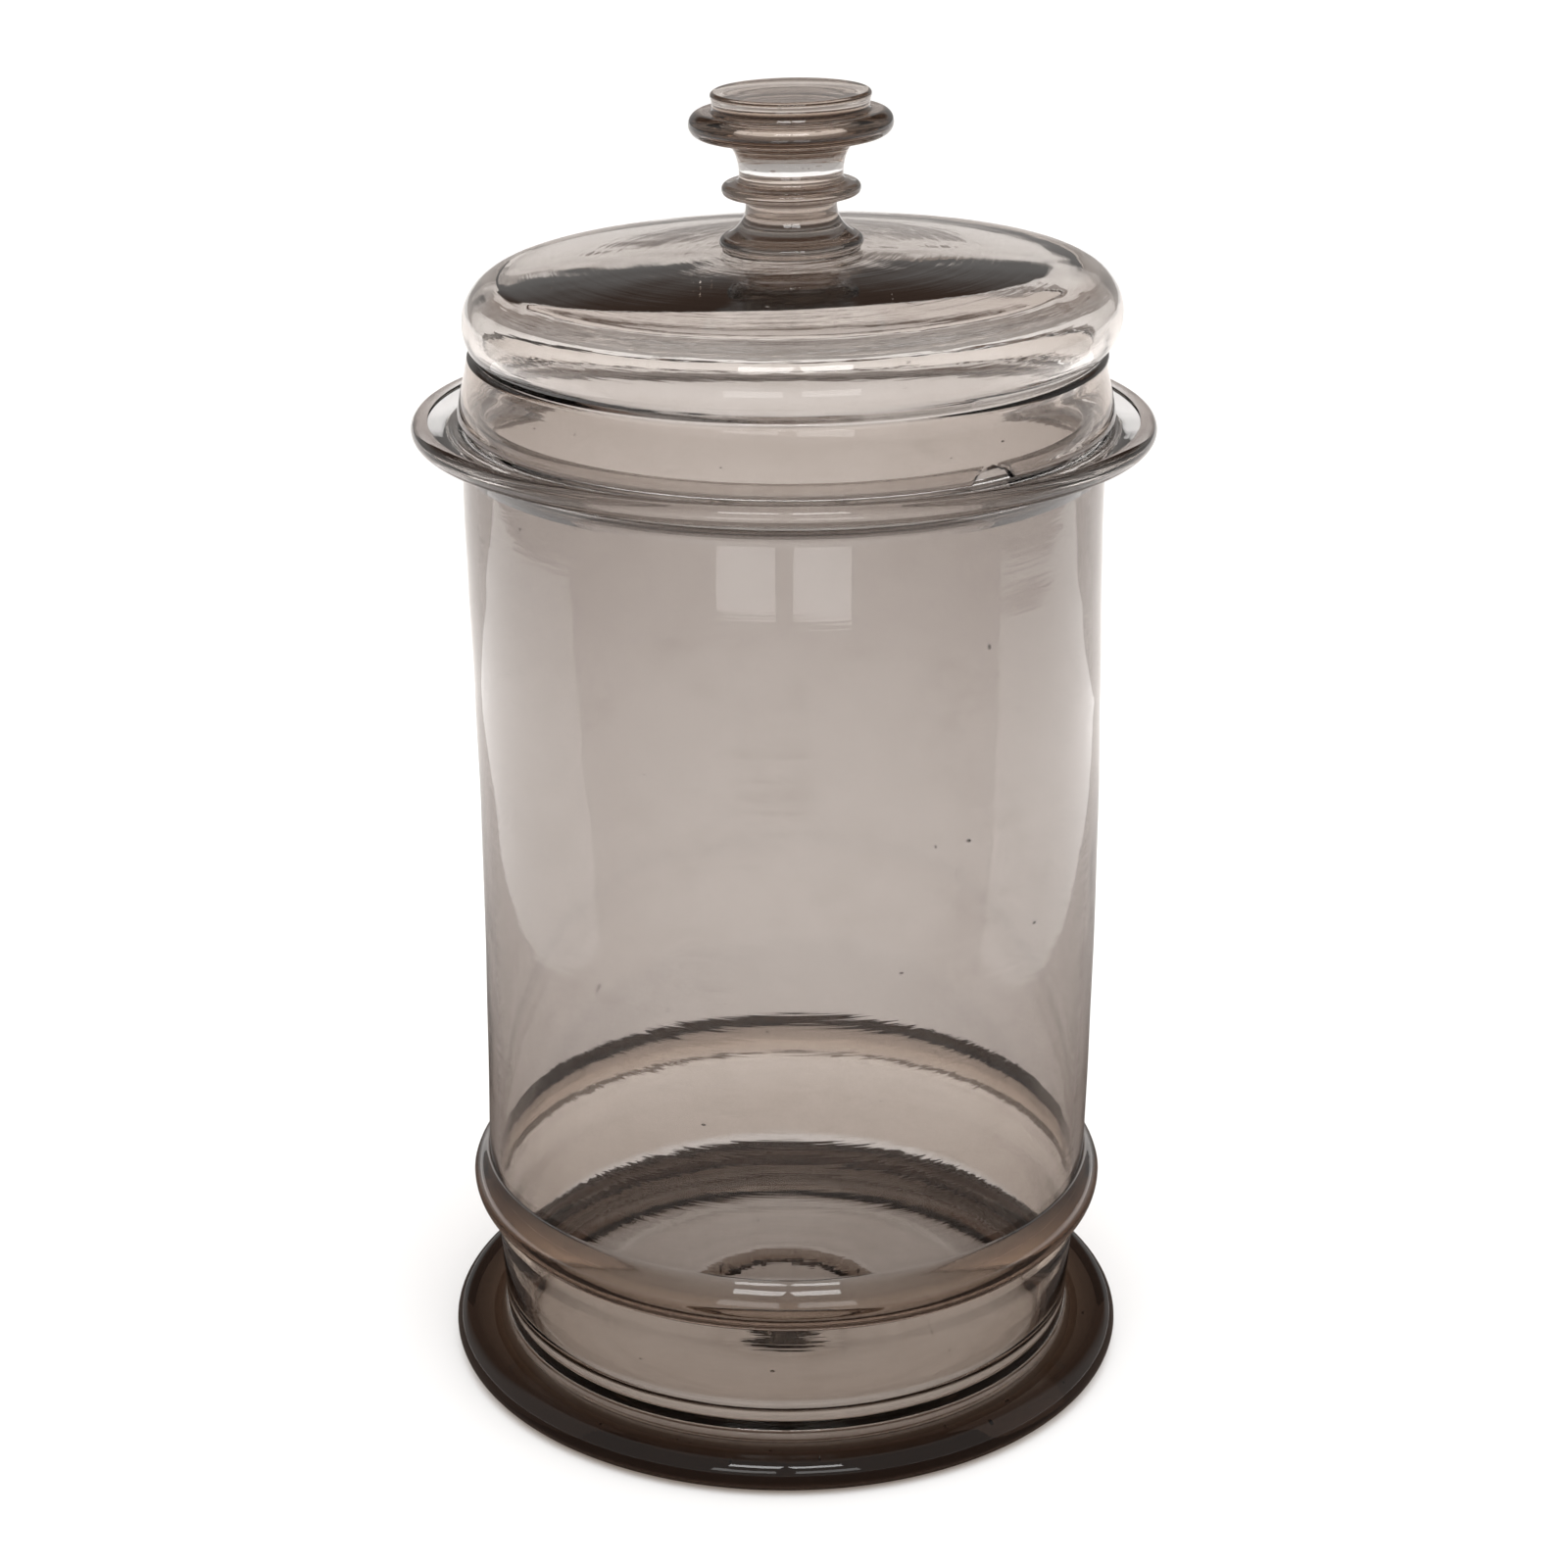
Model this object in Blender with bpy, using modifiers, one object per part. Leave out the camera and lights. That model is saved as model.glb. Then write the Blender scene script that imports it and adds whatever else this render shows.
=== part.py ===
"""A hand-blown glass specimen jar with a lift-off domed lid, built gather by gather.

The jar is a blown cylinder fused to a short base wall that stands on a thick floor, with a trailed
ring over their seam, a heavy foot ring, a mouth collar and the collar's rolled bead. The lid is a blown dome fused to a skirt, with a
knob built up from five gathers. Every gather is turned about the jar's upright axis and is its own
solid, and neighbours that are fused in the real glass keep FUSE_GAP between them here.

Frame: metres, +Z up, origin at the centre of the foot's underside.
"""

import math

import bmesh
import bpy
from mathutils import Vector

MM = 0.001

# Driving dimensions, in millimetres
TOTAL_HEIGHT = 450.0
WALL = 4.0
FUSE_GAP = 0.3  # between gathers that are fused in the real glass
SEAT_GAP = 0.3  # between the lid's skirt and the collar that it rests on

FOOT_RADIUS = 120.5
FOOT_HEIGHT = 14.0
FOOT_EDGE = 6.5  # radius of the foot's rounded edge

CUP_FOOT_RADIUS = 102.0  # outside of the base where the foot ring holds it
CUP_WAIST_RADIUS = 103.7
CUP_WAIST_HEIGHT = 42.0
FLOOR_UNDERSIDE = 4.0  # the floor hangs clear of the table
FLOOR_THICKNESS = 5.5
FLOOR_KICK = 3.0  # how far the floor is pushed up in the middle
KICK_RADIUS = 66.0  # where the push-up starts
FLOOR_FILLET = 28.0  # how far the floor's rounded corner reaches in from the wall
FLOOR_SEAM = 26.0  # where the short wall stands on the floor's corner

RING_HEIGHT = 66.0  # middle of the trailed ring, over the seam of base and cylinder
RING_RADIUS = 112.2
RING_HALF_HEIGHT = 9.0

CYLINDER_RADIUS_LOW = 106.6
CYLINDER_RADIUS_HIGH = 107.7
CYLINDER_TOP = 331.0  # where the wall turns in to the mouth
MOUTH_RADIUS = 102.6  # outside of the upstand that the lid's skirt drops over
MOUTH_HEIGHT = 347.2
SHOULDER_RADIUS = 4.0

COLLAR_TOP = 343.5
COLLAR_EDGE_RADIUS = 118.6
BEAD_RADIUS = 3.5
BEAD_CENTRE_RADIUS = 120.7
BEAD_CENTRE_HEIGHT = 341.0

SKIRT_WALL = 3.4
SKIRT_FOOT_RADIUS = 109.0
SKIRT_TOP_RADIUS = 105.7
SKIRT_TOP = 365.0

DOME_BULGE_RADIUS = 15.0
DOME_BULGE_CENTRE = (93.5, 377.5)
DOME_CROWN_SLOPE = 8.0  # degrees, where the bulge passes into the crown
DOME_THROAT_SLOPE = 46.0  # degrees below level, where the bulge passes into the skirt
CROWN_GATHER = 5.5  # how much thicker the crown is in the middle than at its edge

KNOB_PAD_RADIUS = 23.7
KNOB_COLLAR_RADIUS = 22.8
KNOB_WAIST_RADIUS = 17.0
KNOB_RING_RADIUS = 33.3
KNOB_BUTTON_RADIUS = 26.2
KNOB_SEAMS = (399.5, 414.0, 422.6, 435.4, 443.6)  # underside of each knob gather, from the pad up

PONTIL_RADIUS = 36.0
PONTIL_THICKNESS = 2.2

JAR_STEPS = 40  # facets round the jar
KNOB_STEPS = 28
MERGE = 0.00001

LIGHT_GLASS = (0.80, 0.76, 0.74)
SMOKY_GLASS = (0.52, 0.47, 0.45)


def arc(centre, radii, start, end, steps):
    """Points of a circular or elliptical arc in the (radius, height) plane, ends included."""
    across, up = radii
    turn = [math.radians(start + (end - start) * i / steps) for i in range(steps + 1)]
    return [(centre[0] + across * math.cos(t), centre[1] + up * math.sin(t)) for t in turn]


def bezier(p0, p1, p2, p3, steps):
    """Points of a cubic curve, without its first point."""
    ends = [Vector(p) for p in (p0, p1, p2, p3)]
    points = []
    for i in range(1, steps + 1):
        t = i / steps
        weights = ((1 - t) ** 3, 3 * t * (1 - t) ** 2, 3 * t * t * (1 - t), t**3)
        points.append(tuple(sum((w * p for w, p in zip(weights, ends)), Vector((0, 0)))))
    return points


def glass(name, colour):
    material = bpy.data.materials.new(name)
    material.use_nodes = True
    shader = material.node_tree.nodes["Principled BSDF"]
    shader.inputs["Base Color"].default_value = (*colour, 1.0)
    shader.inputs["Roughness"].default_value = 0.04
    shader.inputs["Metallic"].default_value = 0.0
    shader.inputs["IOR"].default_value = 1.5
    shader.inputs["Transmission Weight"].default_value = 1.0
    material.diffuse_color = (*colour, 1.0)
    return material


def turned(name, profile, colour, parent, collection, closed=True, steps=JAR_STEPS):
    """A profile of (radius, height) points in millimetres, turned about the jar's axis.

    The profile runs down its outer side. A closed one makes a ring, and an open one starts and
    ends on the axis.
    """
    mesh = bpy.data.meshes.new(name)
    shape = bmesh.new()
    base = parent.location.z
    verts = [shape.verts.new((r * MM, 0.0, z * MM - base)) for r, z in profile]
    for first, second in zip(verts, verts[1:]):
        shape.edges.new((first, second))
    if closed:
        shape.edges.new((verts[-1], verts[0]))
    shape.to_mesh(mesh)
    shape.free()

    piece = bpy.data.objects.new(name, mesh)
    collection.objects.link(piece)
    piece.parent = parent
    mesh.materials.append(glass(name + "_glass", colour))
    screw = piece.modifiers.new("turn", "SCREW")
    screw.axis = "Z"
    screw.angle = math.tau
    screw.steps = steps
    screw.render_steps = steps
    screw.use_merge_vertices = True
    screw.merge_threshold = MERGE
    screw.use_smooth_shade = True
    return piece


def cylinder_radius(height):
    """Outside of the blown cylinder, which opens slightly towards the mouth."""
    share = (height - RING_HEIGHT) / (CYLINDER_TOP - RING_HEIGHT)
    return CYLINDER_RADIUS_LOW + (CYLINDER_RADIUS_HIGH - CYLINDER_RADIUS_LOW) * share**2


def cup_radius(height):
    """Outside of the base below its waist, which narrows towards the foot."""
    share = (height - FOOT_HEIGHT) / (CUP_WAIST_HEIGHT - FOOT_HEIGHT)
    return CUP_FOOT_RADIUS + (CUP_WAIST_RADIUS - CUP_FOOT_RADIUS) * share


def foot_profile():
    """A solid ring: flat underside, rounded edge, and a flat top against the base."""
    inside = CUP_FOOT_RADIUS + FUSE_GAP
    edge_centre = (FOOT_RADIUS - FOOT_EDGE, FOOT_EDGE)
    return [
        (inside, FOOT_HEIGHT),
        *arc(edge_centre, (FOOT_EDGE, FOOT_EDGE), 90, -90, 6),
        (inside + 2.0, 0.0),
        (inside, 1.5),
    ]


def base_wall_profile():
    """The short wall between the floor's corner and the seam under the trailed ring."""
    seam = RING_HEIGHT - FUSE_GAP / 2
    lip = RING_HEIGHT - RING_HALF_HEIGHT + 1.0
    low = FLOOR_SEAM + FUSE_GAP / 2
    outer = [(CYLINDER_RADIUS_LOW, seam), (CYLINDER_RADIUS_LOW, lip)]
    outer += bezier(
        (CYLINDER_RADIUS_LOW, lip),
        (CYLINDER_RADIUS_LOW - 1.6, lip - 6.0),
        (CUP_WAIST_RADIUS, CUP_WAIST_HEIGHT + 6.0),
        (CUP_WAIST_RADIUS, CUP_WAIST_HEIGHT),
        4,
    )
    outer += [(cup_radius(low), low)]
    inner = [(cup_radius(low) - WALL, low), (CUP_WAIST_RADIUS - WALL, CUP_WAIST_HEIGHT)]
    inner += [(CYLINDER_RADIUS_LOW - WALL, lip), (CYLINDER_RADIUS_LOW - WALL, seam)]
    return outer + inner


def jar_floor_profile():
    """The floor, pushed up in the middle, with the thick corner that carries the wall."""
    seam = FLOOR_SEAM - FUSE_GAP / 2
    top = FLOOR_UNDERSIDE + FLOOR_THICKNESS
    kicks = ((0.0, FLOOR_KICK), (50.0, 0.7 * FLOOR_KICK))
    corner = (cup_radius(seam) - WALL - FLOOR_FILLET, seam)
    profile = [(r, top + kick) for r, kick in kicks] + [(KICK_RADIUS, top)]
    profile += arc(corner, (FLOOR_FILLET, seam - top), -90, 0, 7)
    profile += [(cup_radius(seam), seam), (CUP_FOOT_RADIUS, FOOT_HEIGHT)]
    profile += [(CUP_FOOT_RADIUS, FLOOR_UNDERSIDE + 3.0), (CUP_FOOT_RADIUS - 3.0, FLOOR_UNDERSIDE)]
    profile += [(KICK_RADIUS, FLOOR_UNDERSIDE)]
    return profile + [(r, FLOOR_UNDERSIDE + kick) for r, kick in reversed(kicks)]


def body_cylinder_profile():
    """The blown wall, turned in at the shoulder to a short upstand with a fire-polished lip."""
    seam = RING_HEIGHT + FUSE_GAP / 2
    lip = WALL / 2
    outer = arc((MOUTH_RADIUS - lip, MOUTH_HEIGHT - lip), (lip, lip), 180, 0, 4)
    turn_in = bezier(
        (MOUTH_RADIUS, CYLINDER_TOP + 2 * SHOULDER_RADIUS),
        (MOUTH_RADIUS, CYLINDER_TOP + SHOULDER_RADIUS),
        (CYLINDER_RADIUS_HIGH, CYLINDER_TOP + SHOULDER_RADIUS),
        (CYLINDER_RADIUS_HIGH, CYLINDER_TOP),
        3,
    )
    outer += [(MOUTH_RADIUS, CYLINDER_TOP + 2 * SHOULDER_RADIUS), *turn_in]
    levels = (245.0, 155.0, seam)
    outer += [(cylinder_radius(z), z) for z in levels]
    inner = [(cylinder_radius(z) - WALL, z) for z in reversed(levels)]
    inner += [(CYLINDER_RADIUS_HIGH - WALL, CYLINDER_TOP - 1.5)]
    inner += bezier(
        (CYLINDER_RADIUS_HIGH - WALL, CYLINDER_TOP - 1.5),
        (CYLINDER_RADIUS_HIGH - WALL, CYLINDER_TOP + 2.0),
        (MOUTH_RADIUS - WALL, CYLINDER_TOP + 2.0),
        (MOUTH_RADIUS - WALL, CYLINDER_TOP + 6.0),
        3,
    )
    return outer + inner


def base_ring_profile():
    """A trailed ring of glass, half an ellipse in section, round the seam of base and cylinder."""
    inside = CYLINDER_RADIUS_LOW + FUSE_GAP
    return arc((inside, RING_HEIGHT), (RING_RADIUS - inside, RING_HALF_HEIGHT), 90, -90, 8)


def mouth_collar_profile():
    """A flat shelf for the lid, with a flared underside and a hollow that fits the shoulder."""
    edge = COLLAR_EDGE_RADIUS - FUSE_GAP / 2
    reach = math.acos((BEAD_CENTRE_RADIUS - COLLAR_EDGE_RADIUS) / BEAD_RADIUS)
    under = BEAD_CENTRE_HEIGHT - BEAD_RADIUS * math.sin(reach) + 0.2
    wall = CYLINDER_RADIUS_HIGH + FUSE_GAP
    profile = [(MOUTH_RADIUS + FUSE_GAP, COLLAR_TOP), (edge, COLLAR_TOP), (edge, under)]
    foot = (wall, CYLINDER_TOP - 2.0)
    profile += bezier((edge, under), (edge - 4.0, under - 0.6), (wall + 1.5, CYLINDER_TOP + 2.0), foot, 4)
    profile += [(wall, CYLINDER_TOP)]
    profile += bezier(
        (wall, CYLINDER_TOP),
        (wall, CYLINDER_TOP + SHOULDER_RADIUS + FUSE_GAP),
        (MOUTH_RADIUS + FUSE_GAP, CYLINDER_TOP + SHOULDER_RADIUS + FUSE_GAP),
        (MOUTH_RADIUS + FUSE_GAP, CYLINDER_TOP + 2 * SHOULDER_RADIUS + FUSE_GAP),
        3,
    )
    return profile


def collar_bead_profile():
    """The rolled edge: a round bead with a flat where it is fused to the collar."""
    flat = COLLAR_EDGE_RADIUS + FUSE_GAP / 2
    open_half = math.degrees(math.acos((flat - BEAD_CENTRE_RADIUS) / BEAD_RADIUS))
    centre = (BEAD_CENTRE_RADIUS, BEAD_CENTRE_HEIGHT)
    return arc(centre, (BEAD_RADIUS, BEAD_RADIUS), open_half, -open_half, 10)


def lid_skirt_profile():
    """A short tapering wall, wider at its foot, that stands on the collar round the mouth."""
    foot = COLLAR_TOP + SEAT_GAP
    top = SKIRT_TOP - FUSE_GAP / 2
    round_foot = SKIRT_WALL / 2
    outer = [(SKIRT_TOP_RADIUS, top)]
    outer += arc((SKIRT_FOOT_RADIUS - round_foot, foot + round_foot), (round_foot, round_foot), 0, -180, 4)
    return outer + [(SKIRT_TOP_RADIUS - SKIRT_WALL, top)]


def dome_arc(offset, steps):
    """The dome's bulge in section, from the crown down to the throat, offset inwards."""
    radius = DOME_BULGE_RADIUS - offset
    return arc(DOME_BULGE_CENTRE, (radius, radius), 90 - DOME_CROWN_SLOPE, -DOME_THROAT_SLOPE, steps)


def crown(edge, gather, steps):
    """Points from the axis out to the crown's edge, without it, on a shallow arc that a gather lowers."""
    radius = edge[0] / math.sin(math.radians(DOME_CROWN_SLOPE))
    drop = radius * math.cos(math.radians(DOME_CROWN_SLOPE))
    points = []
    for i in range(steps):
        share = i / steps
        r = edge[0] * share
        thicker = gather * (1 - share) ** 1.5
        points.append((r, edge[1] - drop + math.sqrt(radius**2 - r**2) - thicker))
    return points


def lid_dome_profile():
    """A flattened dome that bulges over a throat, closed at the crown under the knob."""
    seam = SKIRT_TOP + FUSE_GAP / 2
    outer = dome_arc(0.0, 9)
    inner = dome_arc(WALL, 7)
    throat_out = [(SKIRT_TOP_RADIUS, seam)]
    throat_in = [(SKIRT_TOP_RADIUS - SKIRT_WALL, seam)]
    going_down = crown(outer[0], 0.0, 3) + outer + throat_out
    going_up = throat_in + inner[::-1] + crown(inner[0], CROWN_GATHER, 4)[::-1]
    return going_down + going_up


def knob_pad_profile():
    under, top = KNOB_SEAMS[0], KNOB_SEAMS[1] - FUSE_GAP / 2
    neck = 15.0
    edge = (KNOB_PAD_RADIUS - 2.0, under + 3.0)
    profile = [(0.0, top), (neck, top), (neck, top - 1.5)]
    shoulder = (edge[0], edge[1] + 2.0)
    profile += bezier((neck, top - 1.5), (neck + 0.6, top - 5.0), (18.5, under + 6.2), shoulder, 5)
    profile += arc(edge, (2.0, 2.0), 60, -90, 4)
    return profile + [(0.0, under)]


def knob_collar_profile():
    under, top = KNOB_SEAMS[1] + FUSE_GAP / 2, KNOB_SEAMS[2] - FUSE_GAP / 2
    edge = (KNOB_COLLAR_RADIUS - 1.9, under + 4.3)
    profile = [(0.0, top), (KNOB_WAIST_RADIUS, top), (edge[0] - 1.0, edge[1] + 2.1)]
    profile += arc(edge, (1.9, 1.9), 70, -70, 6)
    return profile + [(16.6, under + 1.0), (15.0, under), (0.0, under)]


def knob_waist_profile():
    under, top = KNOB_SEAMS[2] + FUSE_GAP / 2, KNOB_SEAMS[3] - FUSE_GAP / 2
    flare = (25.0, top)
    profile = [(0.0, top), flare]
    profile += bezier(
        flare, (19.5, top - 1.5), (KNOB_WAIST_RADIUS, top - 6.0), (KNOB_WAIST_RADIUS, under + 3.0), 5
    )
    return profile + [(KNOB_WAIST_RADIUS, under), (0.0, under)]


def knob_ring_profile():
    under, top = KNOB_SEAMS[3] + FUSE_GAP / 2, KNOB_SEAMS[4] - FUSE_GAP / 2
    half = (top - under) / 2
    centre = (KNOB_RING_RADIUS - half, under + half)
    return [(0.0, top), *arc(centre, (half, half), 90, -90, 8), (0.0, under)]


def knob_button_profile():
    under, top = KNOB_SEAMS[4] + FUSE_GAP / 2, TOTAL_HEIGHT
    edge = 1.2
    profile = [(0.0, top)]
    profile += arc((KNOB_BUTTON_RADIUS - edge, top - edge), (edge, edge), 90, 0, 3)
    return profile + [(KNOB_BUTTON_RADIUS, under), (0.0, under)]


def pontil_scar_profile():
    """The wad of glass that the pontil rod left under the floor, clear of the table."""
    top = FLOOR_UNDERSIDE + 0.75 * FLOOR_KICK - FUSE_GAP
    under = top - PONTIL_THICKNESS
    return [
        (0.0, top),
        (PONTIL_RADIUS, top - 0.2),
        (PONTIL_RADIUS - 2.0, under),
        (PONTIL_RADIUS - 9.0, under),
        (PONTIL_RADIUS - 12.0, under + 1.0),
        (0.0, under + 1.0),
    ]


def anchor(name, height, collection):
    empty = bpy.data.objects.new(name, None)
    empty.location = (0.0, 0.0, height * MM)
    collection.objects.link(empty)
    return empty


def build():
    for old in list(bpy.data.objects):
        bpy.data.objects.remove(old, do_unlink=True)
    collection = bpy.data.collections.new("specimen_jar")
    bpy.context.scene.collection.children.link(collection)
    jar = anchor("jar_axis", 0.0, collection)
    lid = anchor("lid_axis", COLLAR_TOP + SEAT_GAP, collection)

    rings = (
        ("foot_ring", foot_profile(), SMOKY_GLASS, jar),
        ("base_wall", base_wall_profile(), LIGHT_GLASS, jar),
        ("base_ring", base_ring_profile(), SMOKY_GLASS, jar),
        ("body_cylinder", body_cylinder_profile(), LIGHT_GLASS, jar),
        ("mouth_collar", mouth_collar_profile(), LIGHT_GLASS, jar),
        ("collar_bead", collar_bead_profile(), SMOKY_GLASS, jar),
        ("lid_skirt", lid_skirt_profile(), LIGHT_GLASS, lid),
    )
    for name, profile, colour, parent in rings:
        turned(name, profile, colour, parent, collection)

    closed_on_axis = (
        ("jar_floor", jar_floor_profile(), LIGHT_GLASS, jar, JAR_STEPS),
        ("pontil_scar", pontil_scar_profile(), SMOKY_GLASS, jar, KNOB_STEPS),
        ("lid_dome", lid_dome_profile(), LIGHT_GLASS, lid, JAR_STEPS),
        ("knob_pad", knob_pad_profile(), LIGHT_GLASS, lid, KNOB_STEPS),
        ("knob_collar", knob_collar_profile(), LIGHT_GLASS, lid, KNOB_STEPS),
        ("knob_waist", knob_waist_profile(), LIGHT_GLASS, lid, KNOB_STEPS),
        ("knob_ring", knob_ring_profile(), LIGHT_GLASS, lid, KNOB_STEPS),
        ("knob_button", knob_button_profile(), LIGHT_GLASS, lid, KNOB_STEPS),
    )
    for name, profile, colour, parent, steps in closed_on_axis:
        turned(name, profile, colour, parent, collection, closed=False, steps=steps)


build()
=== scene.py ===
"""Looks for the blown-glass specimen jar: glass pieces, their materials, a pale floor and soft light.

Lengths in the section functions are millimetres, in the CAD frame: +Z up, origin under the foot.
"""

import math
import random

import bmesh
import bpy
import numpy as np
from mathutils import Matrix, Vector, noise


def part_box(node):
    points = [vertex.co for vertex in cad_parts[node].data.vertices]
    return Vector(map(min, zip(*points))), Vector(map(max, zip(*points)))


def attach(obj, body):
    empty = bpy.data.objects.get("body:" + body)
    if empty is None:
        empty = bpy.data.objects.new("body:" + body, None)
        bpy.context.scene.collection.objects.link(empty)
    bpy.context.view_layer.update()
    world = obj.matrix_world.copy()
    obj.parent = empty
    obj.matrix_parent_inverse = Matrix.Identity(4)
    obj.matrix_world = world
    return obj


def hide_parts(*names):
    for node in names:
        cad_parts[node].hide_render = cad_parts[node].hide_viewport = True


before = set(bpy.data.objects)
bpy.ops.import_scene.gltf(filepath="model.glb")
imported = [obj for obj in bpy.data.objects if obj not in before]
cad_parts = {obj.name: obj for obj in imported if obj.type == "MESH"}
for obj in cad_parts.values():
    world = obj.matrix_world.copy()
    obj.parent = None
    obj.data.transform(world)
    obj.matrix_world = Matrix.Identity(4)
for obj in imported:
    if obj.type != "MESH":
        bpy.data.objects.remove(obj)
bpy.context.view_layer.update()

MM = 0.001


def top_of(node):
    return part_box(node)[1].z / MM


def foot_of(node):
    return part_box(node)[0].z / MM


def reach_of(node):
    """A node's outer radius."""
    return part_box(node)[1].x / MM


# Driving dimensions, from the frame where it has them
HEIGHT = top_of("knob_button")
WALL = 4.0
HAIR = 0.04  # left between gathers that are fused, too thin to see
PAD_WELD = 0.5  # how well the knob's pad melted into the crown

FOOT_R = reach_of("foot_ring")
FOOT_TOP = top_of("foot_ring")
FOOT_EDGE = 6.5
CUP_R = 102.0
WAIST_R = 103.7
WAIST_Z = 42.0
FLOOR_Z = foot_of("jar_floor")
FLOOR_SEAM = top_of("jar_floor")
FLOOR_THICK = 5.5
FLOOR_KICK = 3.0
KICK_R = 80.0  # where the push-up of the floor starts
FLOOR_FILLET = 28.0

RING_R = reach_of("base_ring")
RING_LOW = foot_of("base_ring")
RING_TOP = top_of("base_ring")
RING_Z = (RING_LOW + RING_TOP) / 2

BODY_LOW_R = 106.6
BODY_HIGH_R = reach_of("body_cylinder")
BODY_TOP = 331.0
MOUTH_R = 102.6
MOUTH_Z = top_of("body_cylinder")
SHOULDER = 8.0
MOUTH_WALL = 2.8
COLLAR_WELD = 0.15  # how well the collar's gather melted into the wall
FOOT_WELD = 0.5  # how well the foot's inner underside melted into the floor

COLLAR_TOP = top_of("mouth_collar")
COLLAR_EDGE = 118.6
BEAD = (top_of("collar_bead") - foot_of("collar_bead")) / 2
BEAD_R = reach_of("collar_bead") - BEAD
BEAD_Z = foot_of("collar_bead") + BEAD

SKIRT_WALL = 3.4
SKIRT_FOOT = foot_of("lid_skirt")
SKIRT_TOP = top_of("lid_skirt")
SKIRT_LOW_R = reach_of("lid_skirt")
SKIRT_HIGH_R = 105.7
CHIP_ANGLE = math.radians(-53.6)
CHIP_HALF = math.radians(4.0)
CHIP_LIFT = 4.2
CHIP_DEPTH = 2.0
LID_TILT = math.radians(1.1)
LID_SHIFT = -0.3
DOME_SHIFT = 2.0  # how far the dome stands to one side of the skirt
COLLAR_TILT = 0.014  # slope of the shelf, which sinks towards the back

BULGE = 15.0
BULGE_R = 93.5
BULGE_Z = 377.5
CROWN_SLOPE = 8.0
CROWN_GATHER = 3.8
GATHER_START = 70.0
GATHER_END = 12.0
GATHER_OVAL = 0.74
GATHER_SHIFT = 9.0
SHOULDER_GATHER = 1.1
THROAT_SLOPE = 46.0

PAD_R = reach_of("knob_pad")
COLLAR_R = reach_of("knob_collar")
NECK_R = 15.0
WAIST_NECK_R = 17.0
FLARE_R = 25.0
KNOB_RING_R = reach_of("knob_ring")
BUTTON_R = reach_of("knob_button")
KNOB_SEAMS = [foot_of("knob_pad"), foot_of("knob_collar"), foot_of("knob_waist")]
KNOB_SEAMS += [foot_of("knob_ring"), foot_of("knob_button")]
PONTIL_R = reach_of("pontil_scar")
RIM_LOW = 2.1  # how far the pontil's rim stands down from the floor
RIM_DEPTH = 0.4  # how deep the breaks in that rim start

STEPS = 288
KNOB_STEPS = 144
SKIRT_STEPS = 720
SHARP_ANGLE = math.radians(50)


# ---------------------------------------------------------------- sections

class Section:
    """An outline in the (radius, height) plane, run down its outer side, with fused stretches marked."""

    def __init__(self, *start):
        self.points = list(start)
        self.fused = [0.0] * (len(start) - 1)
        self.edge = None

    def to(self, *points, fused=False):
        self.points += points
        self.fused += [float(fused)] * len(points)
        return self

    def close(self, fused=False):
        self.fused.append(float(fused))
        return self

    def thick_edge(self, start, full):
        """The radii over which the glass darkens towards its edge, for an edge_tint: partly the thick
        glass's own tone, partly painted shade.
        """
        self.edge = (start, full)
        return self


def arc(centre, radii, start, end, steps):
    across, up = radii
    turns = [math.radians(start + (end - start) * i / steps) for i in range(steps + 1)]
    return [(centre[0] + across * math.cos(t), centre[1] + up * math.sin(t)) for t in turns]


def bezier(p0, p1, p2, p3, steps):
    """Points of a cubic curve, without its first point."""
    ends = [Vector(p) for p in (p0, p1, p2, p3)]
    points = []
    for i in range(1, steps + 1):
        t = i / steps
        weights = ((1 - t) ** 3, 3 * t * (1 - t) ** 2, 3 * t * t * (1 - t), t**3)
        points.append(tuple(sum((w * p for w, p in zip(weights, ends)), Vector((0, 0)))))
    return points


def between(p, q, steps):
    """Points from p to q, without p."""
    return [tuple(Vector(p).lerp(Vector(q), i / steps)) for i in range(1, steps + 1)]


def body_radius(z):
    share = min(max((z - RING_Z) / (BODY_TOP - RING_Z), 0.0), 1.0)
    return BODY_LOW_R + (BODY_HIGH_R - BODY_LOW_R) * share**2


def wall_at(z):
    """The cylinder's wall, a little thicker towards the mouth, where it cooled first."""
    return WALL - 0.5 + 1.1 * min(max((z - 225.0) / 80.0, 0.0), 1.0)


def cup_radius(z):
    """Outside of the base cup, which narrows below the trailed ring."""
    if z >= WAIST_Z:
        share = min((z - WAIST_Z) / (RING_LOW - WAIST_Z), 1.0)
        return WAIST_R + (BODY_LOW_R - WAIST_R) * share**2 * (3 - 2 * share)
    return CUP_R + (WAIST_R - CUP_R) * max(z - FOOT_TOP, 0.0) / (WAIST_Z - FOOT_TOP)


def foot_section():
    inside = CUP_R + HAIR
    edge = (FOOT_R - FOOT_EDGE, FOOT_EDGE)
    section = Section((inside, FOOT_TOP + 0.8))
    section.to(*bezier((inside, FOOT_TOP + 0.8), (inside + 0.4, FOOT_TOP),
                       (inside + 2.0, FOOT_TOP), (edge[0] - 5.0, edge[1] + FOOT_EDGE + 0.2), 8))
    section.to(*arc(edge, (FOOT_EDGE, FOOT_EDGE), 90, -90, 22))
    section.to((inside + 4.0, 0.0), (inside + 1.2, 0.5), (inside, FLOOR_Z + 3.0), fused=FOOT_WELD)
    return section.close(fused=True).thick_edge(inside - 2.0, FOOT_R - 9.0)


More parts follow.
